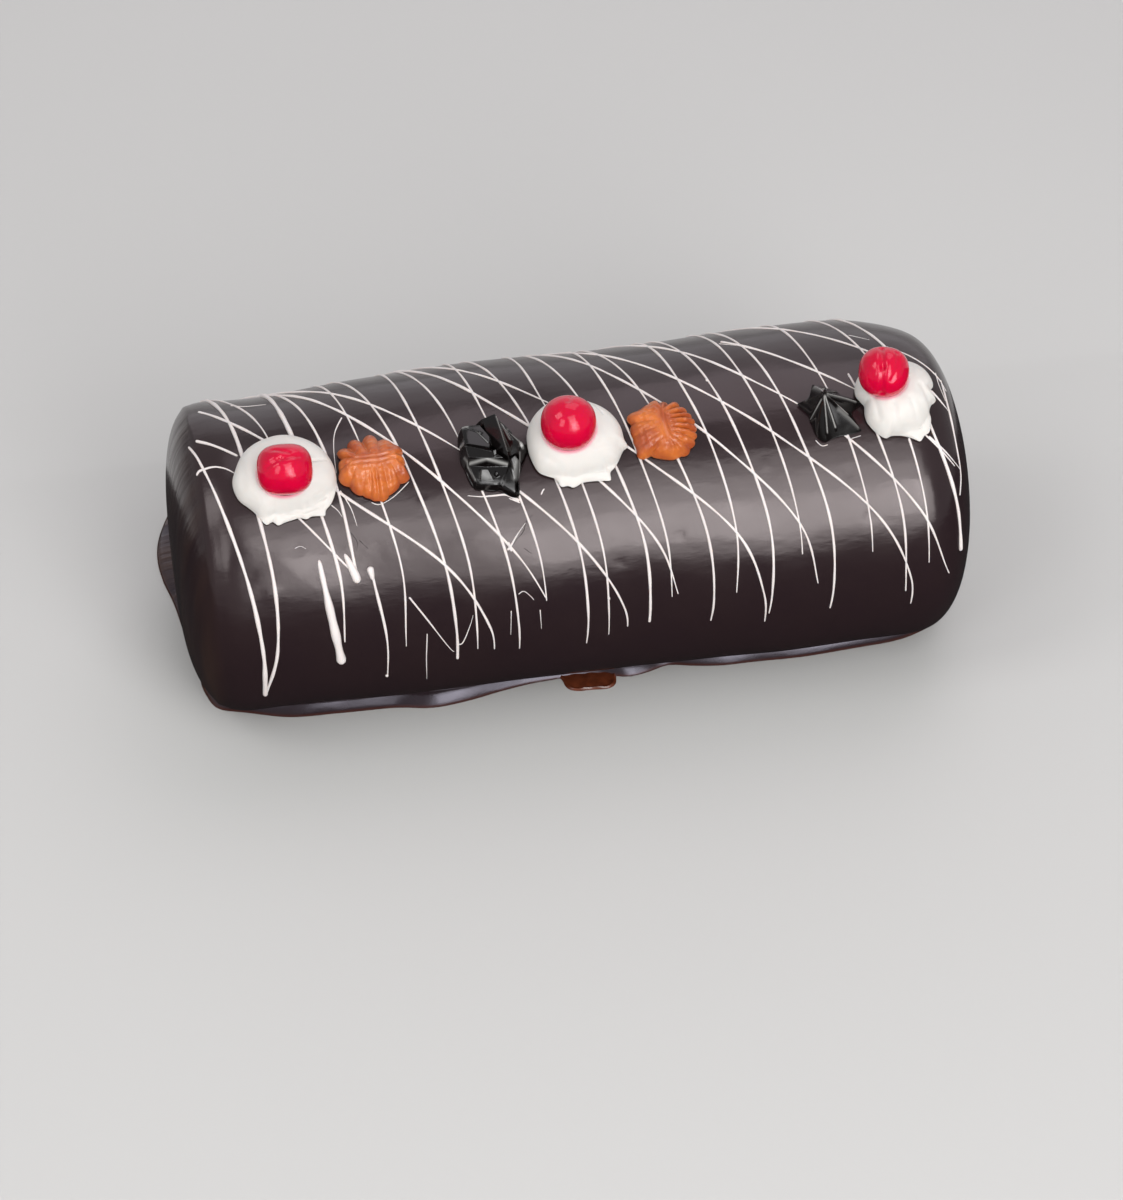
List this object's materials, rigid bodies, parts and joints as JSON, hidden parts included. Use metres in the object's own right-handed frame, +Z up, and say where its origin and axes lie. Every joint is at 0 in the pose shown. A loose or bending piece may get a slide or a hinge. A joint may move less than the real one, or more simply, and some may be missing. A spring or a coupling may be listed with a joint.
{
  "type": "chocolate swiss roll",
  "caption": "Uncut rolled cake under poured dark glaze, with piped white strands and a row of cream rosettes, glace cherries and chocolate stars along its shoulder.",
  "frame": {"origin": "on the flat underside, below the middle of the log", "axes": "+X along the log towards its thicker end, +Z up, -Y towards the side with the toppings"},
  "size_m": [0.2562, 0.1372, 0.113],
  "materials": {
    "glaze": "glossy poured dark glaze",
    "cream": "soft white whipped cream",
    "cherry": "wet translucent red",
    "caramel": "glossy orange-brown",
    "dark_chocolate": "glossy near-black"
  },
  "bodies": {
    "root": {"roll": "glaze", "puddle": "glaze", "cream_1": "cream", "cream_2": "cream", "cream_3": "cream", "cherry_1": "cherry", "cherry_2": "cherry", "cherry_3": "cherry", "caramel_1": "caramel", "caramel_2": "caramel", "dark_1": "dark_chocolate", "dark_2": "dark_chocolate"}
  },
  "joints": []
}
